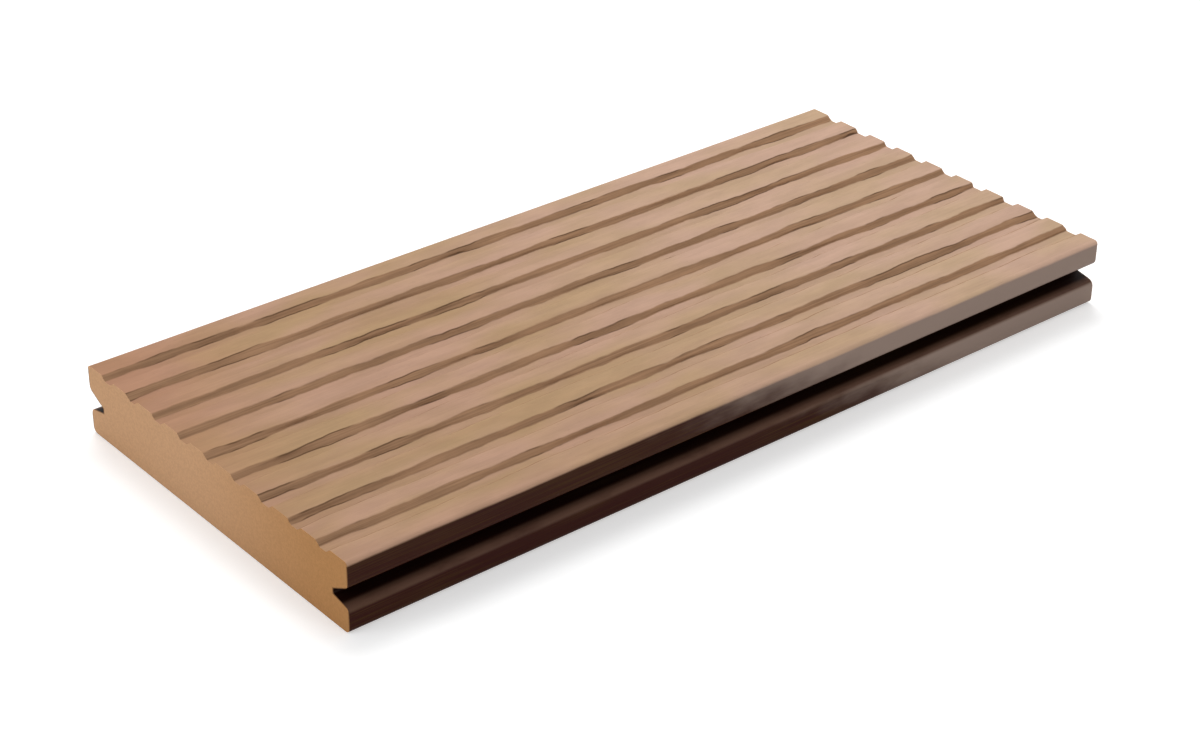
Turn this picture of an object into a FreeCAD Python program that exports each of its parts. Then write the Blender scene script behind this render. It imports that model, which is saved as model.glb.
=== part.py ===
"""Grooved composite decking board with a clip slot along each long edge.

The board lies flat with its grooved face up. Its length runs along X, its width along Y and its
thickness along Z. The origin is at the middle of the underside. Sizes are in millimetres.
"""
import FreeCAD
import Part
import Sketcher
import os

NODE = "decking_board"

# Driving dimensions: alias, value and what it measures
SIZES = (
    ("board_length", 310.0, "cut length"),
    ("board_width", 140.0, "over the two long edges"),
    ("board_thickness", 24.0, "underside to ridge tops"),
    ("top_edge_radius", 1.2, "long edges of the grooved face"),
    ("bottom_edge_radius", 2.0, "long edges of the underside"),
    ("groove_count", 9, "grooves across the top"),
    ("edge_ridge_width", 7.9, "long edge to the nearest groove"),
    ("groove_width", 7.4, "across a groove's mouth"),
    ("groove_floor_width", 3.1, "across a groove's floor"),
    ("groove_depth", 1.6, "ridge top to groove floor"),
    ("groove_lip_radius", 1.0, "rounding of a groove's mouth"),
    ("groove_root_radius", 1.2, "rounding at the sides of a groove's floor"),
    ("slot_depth", 7.5, "long edge to the back of the clip slot"),
    ("slot_mouth_floor", 8.5, "underside to the clip slot's floor at its mouth, before rounding"),
    ("slot_mouth_height", 7.0, "floor to ceiling at the clip slot's mouth, before rounding"),
    ("slot_back_floor", 10.0, "underside to the clip slot's floor at its back"),
    ("slot_back_height", 1.7, "floor to ceiling at the clip slot's back"),
    ("slot_mouth_radius", 2.5, "rounding of the clip slot's two lips"),
    ("slot_root_radius", 0.7, "rounding in the back corners of the clip slot"),
)


def add_sheet(doc):
    """Write the driving dimensions into a spreadsheet, one row each."""
    sheet = doc.addObject("Spreadsheet::Sheet", "Sizes")
    for row, (alias, value, meaning) in enumerate(SIZES, start=1):
        sheet.set(f"A{row}", meaning)
        sheet.set(f"B{row}", str(value))
        sheet.setAlias(f"B{row}", alias)
    doc.recompute()
    return sheet


def origin_feature(body, role):
    """Return the body's own origin plane or axis with this role."""
    return next(item for item in body.Origin.OriginFeatures if item.Role == role)


def add_section_sketch(body, name, corners):
    """Add a closed polygon across the board, with every corner placed by two formulas.

    corners is a list of (Y formula, Z formula) pairs in drawing order.
    """
    sketch = body.newObject("Sketcher::SketchObject", name)
    sketch.AttachmentSupport = [(origin_feature(body, "YZ_Plane"), "")]
    sketch.MapMode = "FlatFace"
    start_points = [sketch_point(sketch, y, z) for y, z in corners]
    count = len(corners)
    for index in range(count):
        following = start_points[(index + 1) % count]
        sketch.addGeometry(Part.LineSegment(start_points[index], following))
    for index in range(count):
        sketch.addConstraint(Sketcher.Constraint("Coincident", index, 2, (index + 1) % count, 1))
    for index, formulas in enumerate(corners):
        for kind, formula in zip(("DistanceX", "DistanceY"), formulas):
            place = sketch.evalExpression(formula)
            number = sketch.addConstraint(Sketcher.Constraint(kind, -1, 1, index, 1, place))
            sketch.setExpression(f"Constraints[{number}]", formula)
    return sketch


def sketch_point(sketch, y_formula, z_formula):
    """Return the point in a sketch that two formulas give."""
    return FreeCAD.Vector(sketch.evalExpression(y_formula), sketch.evalExpression(z_formula), 0)


def cut_along(body, sketch, name):
    """Cut a section sketch through the whole length of the board."""
    volume_before = body.Tip.Shape.Volume
    pocket = body.newObject("PartDesign::Pocket", name)
    pocket.Profile = sketch
    pocket.SideType = "Symmetric"
    pocket.Type = "ThroughAll"
    body.Document.recompute()
    if pocket.Shape.Volume >= volume_before:
        raise RuntimeError(f"{name} cuts nothing")
    return pocket


def round_edges(body, name, radius_alias, sheet, places):
    """Round the lengthwise edges that pass through the given (Y, Z) places."""
    base = body.Tip
    tolerance = 0.001
    found = []
    for number, edge in enumerate(base.Shape.Edges, start=1):
        box = edge.BoundBox
        lengthwise = box.XLength > sheet.board_length - tolerance
        straight = box.YLength < tolerance and box.ZLength < tolerance
        if lengthwise and straight:
            for y, z in places:
                if abs(box.YMin - y) < tolerance and abs(box.ZMin - z) < tolerance:
                    found.append(f"Edge{number}")
    if len(found) != len(places):
        raise RuntimeError(f"{name} found {len(found)} of {len(places)} edges")
    fillet = body.newObject("PartDesign::Fillet", name)
    fillet.Base = (base, found)
    fillet.setExpression("Radius", f"Sizes.{radius_alias}")
    body.Document.recompute()
    return fillet


def build_board(doc, sheet):
    """Extrude the plain section, cut the clip slots and grooves, then round the edges."""
    body = doc.addObject("PartDesign::Body", NODE)
    body.Label = NODE

    # The plain section, centred on the width and standing on the underside
    half_width = "Sizes.board_width / 2"
    outline = add_section_sketch(body, "SectionOutline", [
        (f"-{half_width}", "0"),
        (half_width, "0"),
        (half_width, "Sizes.board_thickness"),
        (f"-{half_width}", "Sizes.board_thickness"),
    ])
    blank = body.newObject("PartDesign::Pad", "Extrusion")
    blank.Profile = outline
    blank.SideType = "Symmetric"
    blank.setExpression("Length", "Sizes.board_length")
    doc.recompute()

    # One clip slot, narrower at its back, then its mirror image in the other long edge
    back_of_slot = f"{half_width} - Sizes.slot_depth"
    slot_outline = add_section_sketch(body, "ClipSlotOutline", [
        (back_of_slot, "Sizes.slot_back_floor"),
        (half_width, "Sizes.slot_mouth_floor"),
        (half_width, "Sizes.slot_mouth_floor + Sizes.slot_mouth_height"),
        (back_of_slot, "Sizes.slot_back_floor + Sizes.slot_back_height"),
    ])
    slot = cut_along(body, slot_outline, "ClipSlot")
    both_slots = body.newObject("PartDesign::Mirrored", "BothClipSlots")
    both_slots.Originals = [slot]
    both_slots.MirrorPlane = (origin_feature(body, "XZ_Plane"), [""])
    body.Tip = both_slots
    doc.recompute()

    # The first groove, then the row of grooves from edge ridge to edge ridge
    groove_span = "(Sizes.board_width - 2 * Sizes.edge_ridge_width - Sizes.groove_width)"
    first_groove = f"-{groove_span} / 2"
    groove_floor = "Sizes.board_thickness - Sizes.groove_depth"
    groove_outline = add_section_sketch(body, "GrooveOutline", [
        (f"{first_groove} - Sizes.groove_floor_width / 2", groove_floor),
        (f"{first_groove} + Sizes.groove_floor_width / 2", groove_floor),
        (f"{first_groove} + Sizes.groove_width / 2", "Sizes.board_thickness"),
        (f"{first_groove} - Sizes.groove_width / 2", "Sizes.board_thickness"),
    ])
    groove = cut_along(body, groove_outline, "Groove")
    groove_row = body.newObject("PartDesign::LinearPattern", "GrooveRow")
    groove_row.Originals = [groove]
    groove_row.Direction = (origin_feature(body, "Y_Axis"), [""])
    groove_row.setExpression("Length", groove_span)
    groove_row.setExpression("Occurrences", "Sizes.groove_count")
    body.Tip = groove_row
    doc.recompute()

    # The roundings, from the outer edges to the bottoms of the grooves
    side = sheet.board_width / 2
    top = sheet.board_thickness
    mouth_levels = (sheet.slot_mouth_floor, sheet.slot_mouth_floor + sheet.slot_mouth_height)
    back_levels = (sheet.slot_back_floor, sheet.slot_back_floor + sheet.slot_back_height)
    slot_back = side - sheet.slot_depth
    groove_pitch = groove_row.Length.Value / (groove_row.Occurrences - 1)
    middles = [groove_pitch * number - groove_row.Length.Value / 2
               for number in range(groove_row.Occurrences)]
    lips = [(middle + way * sheet.groove_width / 2, top) for middle in middles for way in (-1, 1)]
    roots = [(middle + way * sheet.groove_floor_width / 2, top - sheet.groove_depth)
             for middle in middles for way in (-1, 1)]
    roundings = (
        ("TopEdges", "top_edge_radius", [(way * side, top) for way in (-1, 1)]),
        ("BottomEdges", "bottom_edge_radius", [(way * side, 0) for way in (-1, 1)]),
        ("SlotMouths", "slot_mouth_radius", [(way * side, z) for way in (-1, 1) for z in mouth_levels]),
        ("SlotRoots", "slot_root_radius",
         [(way * slot_back, z) for way in (-1, 1) for z in back_levels]),
        ("GrooveLips", "groove_lip_radius", lips),
        ("GrooveRoots", "groove_root_radius", roots),
    )
    for name, radius_alias, places in roundings:
        round_edges(body, name, radius_alias, sheet, places)
    return body


def check(doc, body):
    """Stop unless every feature worked and the board is one sound solid."""
    failed = [item.Name for item in doc.Objects if {"Invalid", "Error"} & set(item.State)]
    if failed:
        raise RuntimeError(f"features failed: {failed}")
    shape = body.Shape
    if shape.isNull() or not shape.isValid() or len(shape.Solids) != 1:
        raise RuntimeError(f"{body.Label} is not one sound solid")


document = FreeCAD.newDocument("DeckingBoard")
sizes = add_sheet(document)
board = build_board(document, sizes)
document.recompute()
check(document, board)
os.makedirs("parts", exist_ok=True)
board.Shape.exportStep(f"parts/{board.Label}.step")
extent = board.Shape.BoundBox
print(f"{board.Label}: {extent.XLength:.2f} x {extent.YLength:.2f} x {extent.ZLength:.2f} mm,"
      f" {board.Shape.Volume / 1000:.1f} cm3")
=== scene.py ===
"""Looks of a grooved composite decking board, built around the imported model.

The board's sizes are written in millimetres. Meshes, lamps and the camera are placed in metres.
"""
import bpy
from mathutils import Matrix, Vector


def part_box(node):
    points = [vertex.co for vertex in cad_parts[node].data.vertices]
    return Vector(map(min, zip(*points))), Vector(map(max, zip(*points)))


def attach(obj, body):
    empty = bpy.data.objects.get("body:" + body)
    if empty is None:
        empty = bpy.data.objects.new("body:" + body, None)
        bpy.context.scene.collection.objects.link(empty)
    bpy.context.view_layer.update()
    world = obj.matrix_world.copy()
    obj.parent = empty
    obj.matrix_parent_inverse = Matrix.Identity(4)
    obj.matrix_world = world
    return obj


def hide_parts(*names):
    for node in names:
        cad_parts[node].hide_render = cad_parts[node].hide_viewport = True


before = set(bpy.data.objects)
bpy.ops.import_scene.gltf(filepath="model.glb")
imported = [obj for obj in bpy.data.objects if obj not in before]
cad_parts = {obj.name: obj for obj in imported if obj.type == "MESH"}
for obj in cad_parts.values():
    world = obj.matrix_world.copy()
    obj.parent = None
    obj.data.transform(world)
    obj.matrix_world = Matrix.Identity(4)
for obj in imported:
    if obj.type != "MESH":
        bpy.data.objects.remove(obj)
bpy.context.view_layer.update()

# The board: one solid length of extruded wood-plastic composite, wood flour bound in polyethylene.
# The die leaves a dark skin on the long edges. The grooved face and the underside are brushed back to
# the paler body, less so on the walls of the grooves, and both ends are sawn. The colour also carries
# painted shade in the grooves, slots and ends, a painted highlight on the lower lips and painted sheen.
MM = 0.001
LOWEST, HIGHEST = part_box("decking_board")
BOARD_LENGTH = (HIGHEST.x - LOWEST.x) / MM
BOARD_WIDTH = (HIGHEST.y - LOWEST.y) / MM
BOARD_THICKNESS = (HIGHEST.z - LOWEST.z) / MM
TOP_ROUNDING = 1.2
BOTTOM_ROUNDING = 2.0
GROOVE_COUNT = 9
EDGE_RIDGE = 7.9
GROOVE_WIDTH = 7.4
GROOVE_FLOOR = 3.1
GROOVE_DEPTH = 1.6
GROOVE_LIP_ROUNDING = 1.0
GROOVE_ROOT_ROUNDING = 1.2
SLOT_DEPTH = 7.5
SLOT_MOUTH_BOTTOM = 8.5
SLOT_MOUTH_TOP = 15.5
SLOT_BACK_BOTTOM = 10.0
SLOT_BACK_TOP = 11.7
SLOT_LIP_ROUNDING = 2.5
SLOT_ROOT_ROUNDING = 0.7
SKIN_THICKNESS = 0.45
SWING_LENGTH = 26.0
CREASE_LENGTH = 30.0
LIP_TRACK = 0.0
FOOT_TRACK = 5.0
CREASE_TRACK = 11.0
GROOVE_PITCH = (BOARD_WIDTH - 2 * EDGE_RIDGE - GROOVE_WIDTH) / (GROOVE_COUNT - 1)
HALF_LENGTH = BOARD_LENGTH / 2
HALF_WIDTH = BOARD_WIDTH / 2
LAST_GROOVE = (GROOVE_COUNT - 1) / 2
SEED = 4.0
SEED_STEP = 61.0
GROOVE_STEP = 3.7
SIDE_STEP = 1.3
OLIVE_TAN = (0.430, 0.276, 0.152, 1.0)
ROSY_TAN = (0.475, 0.288, 0.200, 1.0)
DEEP_TAN = (0.385, 0.225, 0.135, 1.0)
SHEEN_TAN = (0.930, 0.740, 0.630, 1.0)
WARM_TAN = (0.405, 0.198, 0.110, 1.0)
WALL_BROWN_AND_SHADE = (0.315, 0.181, 0.102, 1.0)
CREASE_SHADE = (0.095, 0.048, 0.024, 1.0)
RED_SKIN = (0.028, 0.004, 0.002, 1.0)
OLIVE_SKIN = (0.046, 0.019, 0.005, 1.0)
LIP_HIGHLIGHT_SKIN = (0.112, 0.058, 0.038, 1.0)
SHEEN_GREY = (0.305, 0.228, 0.188, 1.0)
RIM_BROWN = (0.120, 0.055, 0.026, 1.0)
SHADED_FRONT_GOLD = (0.445, 0.225, 0.087, 1.0)
BACK_GOLD = (0.565, 0.332, 0.183, 1.0)


class Wire:
    """One output of a node. Sums and products of wires add Math nodes to their tree."""

    def __init__(self, socket):
        self.socket = socket

    @staticmethod
    def node(tree, kind, settings=None, sockets=None, out=None):
        """Add a node: its settings first, then the values or links of its sockets by identifier."""
        made = tree.nodes.new(kind)
        for name, value in (settings or {}).items():
            setattr(made, name, value)
        for name, value in (sockets or {}).items():
            socket = next(s for s in made.inputs if s.identifier == name)
            if isinstance(value, Wire):
                tree.links.new(value.socket, socket)
            else:
                socket.default_value = value
        if out is None:
            return Wire(made.outputs[0]) if made.outputs else None
        return Wire(next(s for s in made.outputs if s.identifier == out))

    def math(self, operation, first, second=0.0):
        """Add a Math node to this wire's tree."""
        return Wire.node(self.socket.id_data, "ShaderNodeMath", {"operation": operation},
                         {"Value": first, "Value_001": second})

    def __add__(self, other):
        return self.math("ADD", self, other)

    def __radd__(self, other):
        return self.math("ADD", other, self)

    def __sub__(self, other):
        return self.math("SUBTRACT", self, other)

    def __rsub__(self, other):
        return self.math("SUBTRACT", other, self)

    def __mul__(self, other):
        return self.math("MULTIPLY", self, other)

    def __rmul__(self, other):
        return self.math("MULTIPLY", other, self)

    def __truediv__(self, other):
        return self.math("DIVIDE", self, other)

    def __gt__(self, other):
        return self.math("GREATER_THAN", self, other)

    def __lt__(self, other):
        return self.math("LESS_THAN", self, other)

    def __abs__(self):
        return self.math("ABSOLUTE", self)


def ramp(value, start, end, low=0.0, high=1.0):
    """Go smoothly from low at start to high at end."""
    return Wire.node(value.socket.id_data, "ShaderNodeMapRange", {"interpolation_type": "SMOOTHSTEP"},
                     {"Value": value, "From Min": start, "From Max": end, "To Min": low, "To Max": high})


def drawn_out_noise(place, length, across, detail=2.0, shift=0.0):
    """Noise in cells of this length along the board and this size across it, in millimetres."""
    tree = place.socket.id_data
    scaled = Wire.node(tree, "ShaderNodeVectorMath", {"operation": "MULTIPLY_ADD"}, {
        "Vector": place, "Vector_001": (1 / length, 1 / across, 1 / across),
        "Vector_002": (shift, shift, 0.0)})
    return Wire.node(tree, "ShaderNodeTexNoise", {"noise_dimensions": "3D"},
                     {"Vector": scaled, "Scale": 1.0, "Detail": detail, "Roughness": 0.55}, "Fac")


def groove_place(tree, across):
    """The number of the nearest groove, the distance from its middle in millimetres, and the side."""
    number = Wire.node(tree, "ShaderNodeMath", {"operation": "ROUND"}, {"Value": across / GROOVE_PITCH})
    number = number.math("MAXIMUM", number.math("MINIMUM", number, LAST_GROOVE), -LAST_GROOVE)
    offset = across - number * GROOVE_PITCH
    side = Wire.node(tree, "ShaderNodeMath", {"operation": "SIGN"}, {"Value": offset})
    return number, abs(offset), side


def wander(tree, along, number, side, length, shift):
    """A slow swing from about -1 to 1 along one edge of one groove, on a noise track of its own."""
    track = Wire.node(tree, "ShaderNodeCombineXYZ", None, {
        "X": (along + SEED * SEED_STEP) / length, "Y": number * GROOVE_STEP + side * SIDE_STEP, "Z": shift})
    swing = Wire.node(tree, "ShaderNodeTexNoise", {"noise_dimensions": "3D"},
                      {"Vector": track, "Scale": 1.0, "Detail": 3.0, "Roughness": 0.55}, "Fac")
    return (swing - 0.5) * 4.0


def section_corners():
    """Corners of the section before rounding, as (across, up, rounding), from the front foot round."""
    half_groove, half_floor = GROOVE_WIDTH / 2, GROOVE_FLOOR / 2
    slot_back = HALF_WIDTH - SLOT_DEPTH
    slot = [(HALF_WIDTH, SLOT_MOUTH_BOTTOM, SLOT_LIP_ROUNDING),
            (slot_back, SLOT_BACK_BOTTOM, SLOT_ROOT_ROUNDING),
            (slot_back, SLOT_BACK_TOP, SLOT_ROOT_ROUNDING),
            (HALF_WIDTH, SLOT_MOUTH_TOP, SLOT_LIP_ROUNDING)]
    corners = [(-HALF_WIDTH, 0.0, BOTTOM_ROUNDING), (HALF_WIDTH, 0.0, BOTTOM_ROUNDING)]
    corners += slot
    corners.append((HALF_WIDTH, BOARD_THICKNESS, TOP_ROUNDING))
    for count in range(GROOVE_COUNT):
        middle = GROOVE_PITCH * (LAST_GROOVE - count)
        floor_level = BOARD_THICKNESS - GROOVE_DEPTH
        corners += [(middle + half_groove, BOARD_THICKNESS, GROOVE_LIP_ROUNDING),
                    (middle + half_floor, floor_level, GROOVE_ROOT_ROUNDING),
                    (middle - half_floor, floor_level, GROOVE_ROOT_ROUNDING),
                    (middle - half_groove, BOARD_THICKNESS, GROOVE_LIP_ROUNDING)]
    corners.append((-HALF_WIDTH, BOARD_THICKNESS, TOP_ROUNDING))
    corners += [(-across, up, rounding) for across, up, rounding in reversed(slot)]
    return corners


def die_section():
    """The opening of the die as a closed curve object, with each corner's rounding as its radius."""
    corners = section_corners()
    outline = bpy.data.curves.new("die_section", "CURVE")
    outline.dimensions = "3D"
    spline = outline.splines.new("POLY")
    spline.points.add(len(corners) - 1)
    for point, (across, up, rounding) in zip(spline.points, corners):
        point.co = (-across * MM, -up * MM, 0.0, 1.0)
        point.radius = rounding * MM
    spline.use_cyclic_u = True
    section = bpy.data.objects.new("die_section", outline)
    bpy.context.scene.collection.objects.link(section)
    return section


def extrusion_tree():
    """Geometry Nodes that round the section, draw it out to length, brush it and give it its material."""
    tree = bpy.data.node_groups.new("BoardExtrusion", "GeometryNodeTree")
    inlets = {}
    for name, kind in (("Section", "Geometry"), ("Length", "Float"), ("Slices", "Int"),
                       ("Rounding Steps", "Int"), ("Strip Width", "Float"), ("Brush Depth", "Float"),
                       ("Die Line Depth", "Float"), ("Edge Wander", "Float"), ("Seed", "Float"),
                       ("Finish", "Material")):
        inlet = tree.interface.new_socket(name, in_out="INPUT", socket_type=f"NodeSocket{kind}")
        inlets[name] = inlet.identifier
    tree.interface.new_socket("Board", in_out="OUTPUT", socket_type="NodeSocketGeometry")
    entry = tree.nodes.new("NodeGroupInput")
    given = {name: Wire(next(s for s in entry.outputs if s.identifier == code))
             for name, code in inlets.items()}

    # Round every corner by its own radius, then split the long straight runs into strips
    radius = Wire.node(tree, "GeometryNodeInputRadius")
    rounded = Wire.node(tree, "GeometryNodeFilletCurve", {"mode": "POLY"}, {
        "Curve": given["Section"], "Count": given["Rounding Steps"], "Radius": radius, "Limit Radius": True})
    here = Wire.node(tree, "GeometryNodeInputPosition")
    following = Wire.node(tree, "GeometryNodeOffsetPointInCurve", None, {"Offset": 1}, "Point Index")
    there = Wire.node(tree, "GeometryNodeFieldAtIndex", {"data_type": "FLOAT_VECTOR", "domain": "POINT"},
                      {"Value": here, "Index": following})
    run = Wire.node(tree, "ShaderNodeVectorMath", {"operation": "DISTANCE"},
                    {"Vector": here, "Vector_001": there}, "Value")
    cuts = Wire.node(tree, "ShaderNodeMath", {"operation": "FLOOR"}, {"Value": run / given["Strip Width"]})
    stripped = Wire.node(tree, "GeometryNodeSubdivideCurve", None, {"Curve": rounded, "Cuts": cuts})

    # Draw the section out along the length and close both ends
    half = given["Length"] * 0.5
    start = Wire.node(tree, "ShaderNodeCombineXYZ", None, {"X": 0.0 - half})
    end = Wire.node(tree, "ShaderNodeCombineXYZ", None, {"X": half})
    axis = Wire.node(tree, "GeometryNodeCurvePrimitiveLine", {"mode": "POINTS"},
                     {"Start": start, "End": end})
    axis = Wire.node(tree, "GeometryNodeResampleCurve", {"mode": "COUNT"},
                     {"Curve": axis, "Count": given["Slices"] + 1.0})
    drawn = Wire.node(tree, "GeometryNodeCurveToMesh", None,
                      {"Curve": axis, "Profile Curve": stripped, "Fill Caps": True})

    # Relief, always inwards: brushed strokes on the faces and die lines on the skin
    place = Wire.node(tree, "ShaderNodeVectorMath", {"operation": "SCALE"},
                      {"Vector": here, "Scale": 1 / MM})
    along, across, up = (Wire.node(tree, "ShaderNodeSeparateXYZ", None, {"Vector": place}, axis)
                         for axis in "XYZ")
    shift = Wire.node(tree, "ShaderNodeCombineXYZ", None, {"X": given["Seed"] * SEED_STEP})
    seeded = Wire.node(tree, "ShaderNodeVectorMath", {"operation": "ADD"},
                       {"Vector": place, "Vector_001": shift})
    facing = Wire.node(tree, "GeometryNodeInputNormal", None, None, "Normal")
    facing_up = Wire.node(tree, "ShaderNodeSeparateXYZ", None, {"Vector": facing}, "Z")
    on_top = (up > BOARD_THICKNESS - 0.4) * ramp(facing_up, 0.6, 0.95)
    underneath = (up < 0.4) * ramp(facing_up, -0.6, -0.95)
    on_face = on_top + underneath
    strokes = ramp(drawn_out_noise(seeded, 70.0, 0.9, 3.0), 0.35, 0.75)
    die_lines = ramp(drawn_out_noise(seeded, 600.0, 0.7, 2.0, 5.0), 0.4, 0.75)
    depth = on_face * strokes * given["Brush Depth"] + (1 - on_face) * die_lines * given["Die Line Depth"]
    inwards = Wire.node(tree, "ShaderNodeVectorMath", {"operation": "SCALE"},
                        {"Vector": facing, "Scale": 0.0 - depth})

    # Groove walls wander a little sideways: the front ones as a whole, the back ones lip and foot apart
    number, offset, side = groove_place(tree, across)
    near_lip = ramp(abs(offset - GROOVE_WIDTH / 2), 1.5, 0.3)
    near_foot = ramp(abs(offset - GROOVE_FLOOR / 2), 0.95, 0.2)
    whole_wall = ramp(offset, GROOVE_FLOOR / 2 - 0.9, GROOVE_FLOOR / 2 - 0.2)
    whole_wall = whole_wall * ramp(offset, GROOVE_WIDTH / 2 + 1.5, GROOVE_WIDTH / 2 + 0.3)
    lip_swing = wander(tree, along, number, side, SWING_LENGTH, LIP_TRACK)
    foot_swing = wander(tree, along, number, side, SWING_LENGTH, FOOT_TRACK)
    apart = lip_swing * near_lip + foot_swing * near_foot
    swing = (side > 0.0) * apart + (side < 0.0) * lip_swing * whole_wall
    swing = swing * (up > BOARD_THICKNESS - GROOVE_DEPTH - 0.2) * given["Edge Wander"]
    sideways = Wire.node(tree, "ShaderNodeCombineXYZ", None, {"Y": swing * side})
    move = Wire.node(tree, "ShaderNodeVectorMath", {"operation": "ADD"},
                     {"Vector": inwards, "Vector_001": sideways})
    brushed = Wire.node(tree, "GeometryNodeSetPosition", None, {"Geometry": drawn, "Offset": move})
    at_end = abs(along) > HALF_LENGTH - 0.01
    smooth = Wire.node(tree, "GeometryNodeSetShadeSmooth", {"domain": "FACE"},
                       {"Geometry": brushed, "Selection": 1 - at_end, "Shade Smooth": True})
    realized = Wire.node(tree, "GeometryNodeRealizeInstances", None, {"Geometry": smooth})
    finished = Wire.node(tree, "GeometryNodeSetMaterial", None,
                         {"Geometry": realized, "Material": given["Finish"]})
    leave = tree.nodes.new("NodeGroupOutput")
    tree.links.new(finished.socket, leave.inputs[0])
    return tree, inlets


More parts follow.
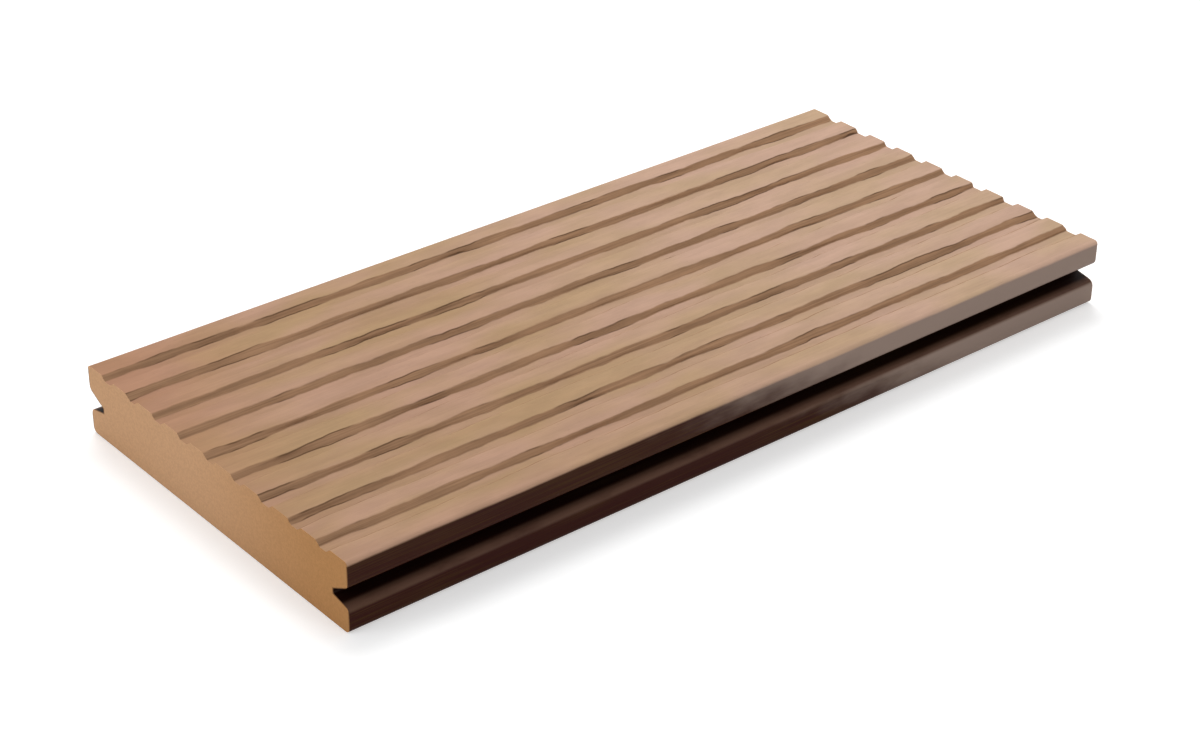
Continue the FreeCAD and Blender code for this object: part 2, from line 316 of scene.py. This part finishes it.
def composite_finish():
    """Brushed tan faces, browner walls, dark skin, golden sawn ends, and painted shade, highlight and sheen.
    """
    finish = bpy.data.materials.new("brushed_composite")
    finish.use_nodes = True
    tree = finish.node_tree
    tree.nodes.clear()

    def blend(share, first, second):
        """Lay this share of the second colour over the first."""
        return Wire.node(tree, "ShaderNodeMix", {"data_type": "RGBA"},
                         {"Factor_Float": share, "A_Color": first, "B_Color": second}, "Result_Color")

    def shade(colour, brightness):
        """Darken or lighten a colour by a factor that varies over the surface."""
        grey = Wire.node(tree, "ShaderNodeCombineXYZ", None,
                         {"X": brightness, "Y": brightness, "Z": brightness})
        return Wire.node(tree, "ShaderNodeMix", {"data_type": "RGBA", "blend_type": "MULTIPLY"},
                         {"Factor_Float": 1.0, "A_Color": colour, "B_Color": grey}, "Result_Color")

    spot = Wire.node(tree, "ShaderNodeTexCoord", None, None, "Object")
    place = Wire.node(tree, "ShaderNodeVectorMath", {"operation": "SCALE"},
                      {"Vector": spot, "Scale": 1 / MM})
    along, across, up = (Wire.node(tree, "ShaderNodeSeparateXYZ", None, {"Vector": place}, axis)
                         for axis in "XYZ")

    # Where each finish lies, and where painted shade falls on the groove walls and along their feet and lips
    number, offset, side = groove_place(tree, across)
    lip_swing = wander(tree, along, number, side, SWING_LENGTH, LIP_TRACK)
    foot_swing = wander(tree, along, number, side, SWING_LENGTH, (side > 0.0) * FOOT_TRACK)
    lip = offset - lip_swing * 0.95 - GROOVE_WIDTH / 2
    foot = offset - foot_swing * 0.95 - GROOVE_FLOOR / 2
    upper = up > BOARD_THICKNESS - GROOVE_DEPTH - 0.3
    # Browner walls: partly a less brushed finish, partly painted shade, so less of it on walls facing the
    # back.
    wall_finish_and_shade = upper * ramp(foot, -0.2, 0.3) * ramp(lip + (side < 0.0) * 0.25, 0.05, -0.4)
    # Painted shade: thin dark lines along the foot and lip of the walls that face the front, in stretches.
    crease_shade_stretch = ramp(wander(tree, along, number, side, CREASE_LENGTH, CREASE_TRACK), -0.1, 0.4)
    foot_shade_line = ramp(abs(foot), 0.32, 0.10)
    lip_shade_line = ramp(abs(lip + 0.2), 0.30, 0.10)
    painted_crease_shade = foot_shade_line.math("MAXIMUM", foot_shade_line, lip_shade_line)
    painted_crease_shade = painted_crease_shade * upper * crease_shade_stretch * (side > 0.0)
    from_edge = HALF_WIDTH - abs(across)
    edge_stray = (drawn_out_noise(place, 40.0, 8.0, 3.0, 9.0) - 0.5) * 1.2
    over_edge = ramp(up + edge_stray, BOARD_THICKNESS - 1.6, BOARD_THICKNESS - 0.6)
    inland = ramp(from_edge, TOP_ROUNDING, TOP_ROUNDING + 0.3)
    on_top = (up > BOARD_THICKNESS - 3.0) * inland.math("MAXIMUM", inland, over_edge)
    underneath = (up < BOTTOM_ROUNDING) * ramp(from_edge + edge_stray, 0.5, 1.6)
    on_face = on_top + underneath
    sawn = abs(along) > HALF_LENGTH - 0.12

    # The skin's own thickness, seen on the sawn ends along the long edges and round the slots
    floor_rise = (SLOT_BACK_BOTTOM - SLOT_MOUTH_BOTTOM) / SLOT_DEPTH
    ceiling_fall = (SLOT_MOUTH_TOP - SLOT_BACK_TOP) / SLOT_DEPTH
    under_slot = SLOT_MOUTH_BOTTOM + from_edge * floor_rise - up
    over_slot = up - (SLOT_MOUTH_TOP - from_edge * ceiling_fall)
    round_slot = under_slot.math("MAXIMUM", under_slot, over_slot)
    round_slot = round_slot.math("MAXIMUM", round_slot, from_edge - SLOT_DEPTH)
    skin_depth = from_edge.math("MINIMUM", from_edge, round_slot)
    skin_rim = ramp(skin_depth + edge_stray * 0.15, SKIN_THICKNESS, SKIN_THICKNESS * 0.4)
    skin_rim = skin_rim * (up < BOARD_THICKNESS - TOP_ROUNDING)

    # Grain that runs with the extrusion, and softer patches where the brush bit unevenly
    strokes = drawn_out_noise(place, 60.0, 0.55, 4.0)
    broad = drawn_out_noise(place, 160.0, 6.0, 2.0, 3.0)
    patches = drawn_out_noise(place, 55.0, 22.0, 2.0, 7.0)
    mottle = drawn_out_noise(place, 16.0, 5.0, 3.0, 13.0)
    flecks = drawn_out_noise(place, 3.2, 0.34, 1.0, 11.0)
    dark_fleck = ramp(flecks, 0.70, 0.78)
    pale_fleck = ramp(flecks, 0.29, 0.22)
    flour = drawn_out_noise(place, 0.7, 0.7, 3.0, 2.0)

    # The colour of each finish, with painted sheen, highlight and shade laid in
    tan = blend(ramp(patches, 0.35, 0.65), OLIVE_TAN, ROSY_TAN)
    tan = blend(ramp(broad, 0.45, 0.75) * 0.35, tan, DEEP_TAN)
    # Painted sheen: the grooved face grows paler towards the far end.
    painted_top_sheen = ramp(along + (patches - 0.5) * 60.0, -100.0, 110.0)
    tan = blend(painted_top_sheen * 0.15, tan, SHEEN_TAN)
    tan = blend(ramp(along - across * 0.35, -110.0, -180.0) * 0.6, tan, WARM_TAN)
    tan = shade(tan, ramp(strokes, 0.25, 0.75, 0.965, 1.035) * ramp(mottle, 0.3, 0.7, 0.95, 1.05)
                - dark_fleck * 0.12 + pale_fleck * 0.07)
    streaks = ramp(strokes, 0.25, 0.75, 0.80, 1.14) * ramp(mottle, 0.3, 0.7, 0.92, 1.10)
    # The wall colour: a less brushed brown, darkened further by painted shade.
    shaded_wall_brown = shade(WALL_BROWN_AND_SHADE, streaks)
    skin_lines = drawn_out_noise(place, 45.0, 0.4, 4.0, 4.0)
    skin = blend(ramp(skin_lines + (patches - 0.5) * 0.5, 0.40, 0.70), RED_SKIN, OLIVE_SKIN)
    # Painted highlight: the rounded top of each lower lip and the outer slot floor are lighter, in patches.
    painted_lip_highlight = (up < SLOT_BACK_BOTTOM) * ramp(up, 6.6, 7.8) * ramp(from_edge, 3.8, 2.4)
    painted_lip_highlight = painted_lip_highlight * ramp(mottle, 0.20, 0.55, 0.4, 0.8)
    skin = blend(painted_lip_highlight, skin, LIP_HIGHLIGHT_SKIN)
    # Painted sheen: the skin turns grey over the far part of the board, reaching further nearer the top, not
    # in the slots.
    sheen_front = along - (21.0 - up) * 3.6
    painted_skin_sheen = ramp(sheen_front + (mottle - 0.5) * 60.0 + (patches - 0.5) * 60.0, -45.0, 45.0)
    skin = blend(painted_skin_sheen * ramp(from_edge, 0.9, 0.1) * 0.8, skin, SHEEN_GREY)
    # Painted shade: the skin darkens deeper into the slots.
    skin = shade(skin, ramp(from_edge, 1.6, 4.0, 1.0, 0.25))
    # Painted shade: the sawn ends are darker and deeper gold towards the front.
    gold = blend(ramp(across, -68.0, 20.0), SHADED_FRONT_GOLD, BACK_GOLD)
    gold = shade(gold, ramp(flour, 0.3, 0.7, 0.94, 1.06))
    gold = blend(skin_rim * 0.75, gold, RIM_BROWN)

    # The finishes and painted shade laid over one another, with their gloss and fine relief
    colour = blend(on_face, skin, tan)
    colour = blend(wall_finish_and_shade, colour, shaded_wall_brown)
    colour = blend(painted_crease_shade * 0.8, colour, CREASE_SHADE)
    colour = blend(sawn, colour, gold)
    rough_face = ramp(strokes, 0.2, 0.8, 0.74, 0.88)
    rough_skin = ramp(skin_lines, 0.3, 0.8, 0.42, 0.62)
    rough = on_face * rough_face + (1 - on_face) * rough_skin
    rough = rough * (1 - sawn) + sawn * 0.85
    relief = on_face * strokes + (1 - on_face) * skin_lines * 0.6
    relief = relief + on_face * (pale_fleck - dark_fleck) * 0.3
    relief = relief * (1 - sawn) + sawn * flour
    normal = Wire.node(tree, "ShaderNodeBump", None,
                       {"Strength": 0.6, "Distance": 0.06 * MM, "Height": relief})
    surface = Wire.node(tree, "ShaderNodeBsdfPrincipled", None, {
        "Base Color": colour, "Roughness": rough, "Normal": normal, "Specular IOR Level": 0.06})
    leave = tree.nodes.new("ShaderNodeOutputMaterial")
    tree.links.new(surface.socket, leave.inputs["Surface"])
    return finish


section = die_section()
tree, inlets = extrusion_tree()
draw = section.modifiers.new("extrusion", "NODES")
draw.node_group = tree
for name, value in (("Length", BOARD_LENGTH * MM), ("Slices", 78), ("Rounding Steps", 6),
                    ("Strip Width", 0.48 * MM), ("Brush Depth", 0.07 * MM), ("Die Line Depth", 0.03 * MM),
                    ("Edge Wander", 0.85 * MM), ("Seed", SEED), ("Finish", composite_finish())):
    draw[inlets[name]] = value
bpy.context.view_layer.update()
evaluated = section.evaluated_get(bpy.context.evaluated_depsgraph_get())
board = bpy.data.objects.new("brushed_board", bpy.data.meshes.new_from_object(evaluated))
bpy.context.scene.collection.objects.link(board)
bpy.data.objects.remove(section)
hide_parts("decking_board")
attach(board, "root")

# The studio: a plain white floor under a large soft lamp above and behind, with weaker ones on the left,
# on the right and low in front. The floor and the world show as white to the camera. The floor glows more
# where the lamps don't reach, and near the board it keeps the board's shadow.
FLOOR_REACH = 4.0
NEAR_FLOOR = 0.35
FAR_FLOOR = 0.90
NEAR_FLOOR_GLOW = 0.42
FAR_FLOOR_GLOW = 0.78
AMBIENT = 0.40


def seen_or_mirrored(tree):
    """One where the camera sees a surface, straight on, in a reflection or through something clear."""
    seen = Wire.node(tree, "ShaderNodeLightPath", None, None, "Is Camera Ray")
    mirrored = Wire(seen.socket.node.outputs["Is Glossy Ray"])
    through = Wire(seen.socket.node.outputs["Is Transmission Ray"])
    return seen.math("MAXIMUM", seen, mirrored.math("MAXIMUM", mirrored, through))


floor_mesh = bpy.data.meshes.new("floor")
below = LOWEST.z - 0.1 * MM
floor_corners = [(x * FLOOR_REACH, y * FLOOR_REACH, below) for x, y in ((-1, -1), (1, -1), (1, 1), (-1, 1))]
floor_mesh.from_pydata(floor_corners, [], [(0, 1, 2, 3)])
floor = bpy.data.objects.new("floor", floor_mesh)
bpy.context.scene.collection.objects.link(floor)
paper = bpy.data.materials.new("white_paper")
paper.use_nodes = True
tree = paper.node_tree
tree.nodes.clear()
white = Wire.node(tree, "ShaderNodeBsdfDiffuse", None, {"Color": (0.80, 0.80, 0.80, 1.0)})
spot = Wire.node(tree, "ShaderNodeTexCoord", None, None, "Object")
distance = Wire.node(tree, "ShaderNodeVectorMath", {"operation": "LENGTH"}, {"Vector": spot}, "Value")
strength = ramp(distance, NEAR_FLOOR, FAR_FLOOR, NEAR_FLOOR_GLOW, FAR_FLOOR_GLOW) * seen_or_mirrored(tree)
glow = Wire.node(tree, "ShaderNodeEmission", None, {"Color": (1.0, 1.0, 1.0, 1.0), "Strength": strength})
both = Wire.node(tree, "ShaderNodeAddShader", None, {"Shader": white, "Shader_001": glow})
leave = tree.nodes.new("ShaderNodeOutputMaterial")
tree.links.new(both.socket, leave.inputs["Surface"])
floor_mesh.materials.append(paper)

world = bpy.data.worlds.new("studio")
bpy.context.scene.world = world
world.use_nodes = True
tree = world.node_tree
tree.nodes.clear()
sky_strength = seen_or_mirrored(tree) * (1 - AMBIENT) + AMBIENT
sky = Wire.node(tree, "ShaderNodeBackground", None,
                {"Color": (1.0, 1.0, 1.0, 1.0), "Strength": sky_strength})
leave = tree.nodes.new("ShaderNodeOutputWorld")
tree.links.new(sky.socket, leave.inputs["Surface"])


def soft_lamp(name, place, size, power):
    """A square lamp of this size, aimed at the middle of the board."""
    data = bpy.data.lights.new(name, "AREA")
    data.size = size
    data.energy = power
    lamp = bpy.data.objects.new(name, data)
    lamp.location = place
    lamp.visible_camera = False
    lamp.rotation_euler = (-Vector(place)).to_track_quat("-Z", "Y").to_euler()
    bpy.context.scene.collection.objects.link(lamp)


soft_lamp("key_lamp", (0.35, 0.65, 1.30), 0.8, 12.3)
soft_lamp("left_lamp", (-1.4, 0.35, 0.55), 0.8, 7.0)
soft_lamp("right_lamp", (1.3, -0.15, 0.45), 0.8, 4.0)
soft_lamp("front_lamp", (0.75, -3.0, 0.60), 0.8, 25.0)

# The camera: a short telephoto lens at the front left corner, looking down on the board. Its three
# directions are those of the picture's right side, its lower side and the view itself.
camera_data = bpy.data.cameras.new("camera")
camera_data.sensor_width = 36.0
camera_data.lens = 78.167
camera = bpy.data.objects.new("camera", camera_data)
right = Vector((0.77042, -0.63747, 0.00918))
down = Vector((-0.31139, -0.38882, -0.86710))
forward = Vector((0.55632, 0.66517, -0.49806))
turn = Matrix((right, -down, -forward)).transposed()
camera.matrix_world = Matrix.Translation((-0.48172, -0.56803, 0.42737)) @ turn.to_4x4()
bpy.context.scene.collection.objects.link(camera)
bpy.context.scene.camera = camera
bpy.context.scene.view_settings.view_transform = "Standard"
